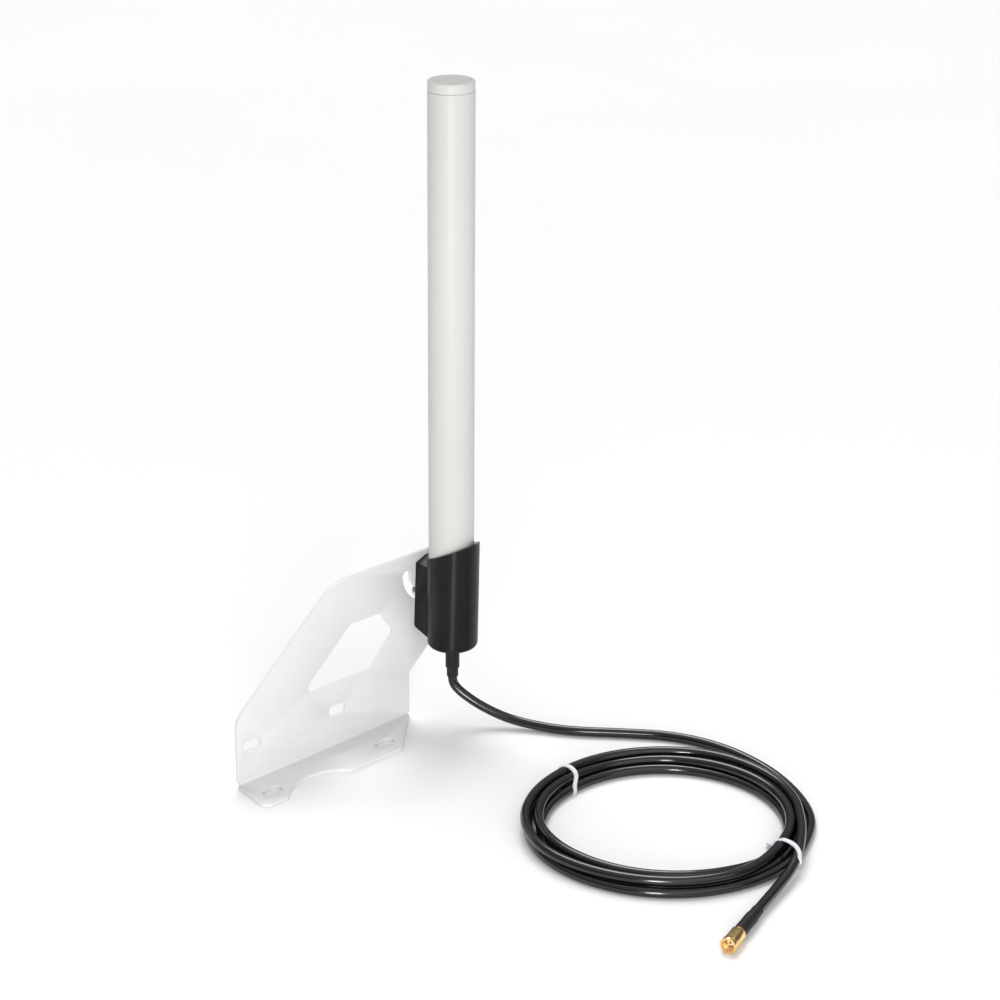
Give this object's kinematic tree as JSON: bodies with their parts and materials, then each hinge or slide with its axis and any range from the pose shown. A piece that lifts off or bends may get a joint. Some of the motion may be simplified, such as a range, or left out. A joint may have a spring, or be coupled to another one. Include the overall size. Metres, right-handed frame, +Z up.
{
  "type": "omnidirectional antenna",
  "caption": "Slim white tubular antenna in a black tilting holder on a slotted white sheet-metal bracket, with a coiled black coaxial lead and a gold screw-on connector.",
  "frame": {"origin": "midway between the two slots in the bracket's flange, on the flange's underside", "axes": "+Z up along the tube at zero tilt, +X along the upright plate towards the tube, +Y from the tube towards the plate's back"},
  "size_m": [0.2367, 0.3161, 0.381],
  "materials": {
    "bracket_white": "fine satin powder coat",
    "radome_white": "smooth matte off-white",
    "holder_black": "moulded satin black",
    "cable_black": "smooth glossy jacket",
    "shrink_black": "matte heat-shrink",
    "seal_black": "elastomer",
    "tie_white": "translucent nylon",
    "gold_plate": "polished gold plating",
    "dielectric_white": "waxy fluoropolymer",
    "steel": "zinc plated",
    "brass_plain": "turned",
    "nickel_plate": "nickel plated tube",
    "board_green": "solder mask",
    "radiator_copper": "tinned copper foil",
    "foam_white": "closed-cell foam"
  },
  "bodies": {
    "root": {"mounting_bracket": "bracket_white", "cable_lead": "cable_black", "cable_coil": "cable_black", "cable_tail": "cable_black", "coil_tie_left": "tie_white", "coil_tie_right": "tie_white", "plug_sleeve": "shrink_black", "crimp_ferrule": "gold_plate", "plug_body": "gold_plate", "plug_dielectric": "dielectric_white", "plug_centre_pin": "gold_plate", "plug_gasket": "seal_black", "snap_ring": "gold_plate"},
    "antenna": {"antenna_holder": "holder_black", "radome_tube": "radome_white", "top_cap": "radome_white", "cap_seal_ring": "seal_black", "antenna_board": "board_green", "upper_radiator": "radiator_copper", "lower_radiator": "radiator_copper", "feed_coax": "cable_black", "choke_sleeve": "nickel_plate", "board_spacers": "foam_white", "base_plug": "foam_white", "pivot_bolt": "steel", "clamp_bolt": "steel", "flat_washers": "steel", "spring_washers": "steel", "threaded_inserts": "brass_plain", "cable_sleeve": "shrink_black"},
    "nut": {"coupling_nut": "gold_plate"}
  },
  "joints": [
    {"name": "tilt", "type": "hinge", "parent": "root", "child": "antenna", "pos_m": [0.092, 0.0185, 0.0905], "axis": [0, 1, 0], "range_deg": [0, 90]},
    {"name": "nut_turn", "type": "hinge", "parent": "root", "child": "nut", "pos_m": [0.0194, -0.284, 0.00445], "axis": [0.9498, 0.3129, 0], "continuous": true}
  ]
}
